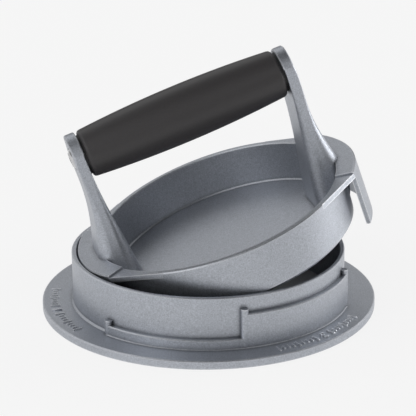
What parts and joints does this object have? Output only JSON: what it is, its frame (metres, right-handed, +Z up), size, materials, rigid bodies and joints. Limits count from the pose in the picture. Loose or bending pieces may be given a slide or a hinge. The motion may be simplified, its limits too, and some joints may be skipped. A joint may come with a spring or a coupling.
{
  "type": "burger press",
  "caption": "Cast-aluminium burger press: a flanged ring with stepped ledges and a dished press plate with a barrel grip, leaning in the ring.",
  "frame": {"origin": "on the ring's axis, at the flat underside of the flange", "axes": "+Z up along the ring's axis, +X towards the raised side of the leaning plate (about 14 degrees from the handle's direction in plan), +Y away from the viewer of the picture"},
  "size_m": [0.147, 0.147, 0.1143],
  "materials": {
    "ring_casting": "satin cast",
    "plate_casting": "satin cast",
    "soft_grip": "matt",
    "grip_core_plastic": "matt",
    "rod_steel": "drawn",
    "dark_spacer": "matt",
    "polished_steel": "polished"
  },
  "bodies": {
    "ring": {"base_ring": "ring_casting"},
    "press": {"press_plate": "plate_casting", "grip_sleeve": "soft_grip", "grip_core": "grip_core_plastic", "tie_rod": "rod_steel", "left_spacer": "dark_spacer", "right_spacer": "dark_spacer", "left_screw": "polished_steel", "right_screw": "polished_steel"}
  },
  "joints": [
    {"name": "lift_out", "type": "slide", "parent": "ring", "child": "press", "axis": [0, 0, 1], "range_m": [0, 0.06]}
  ]
}
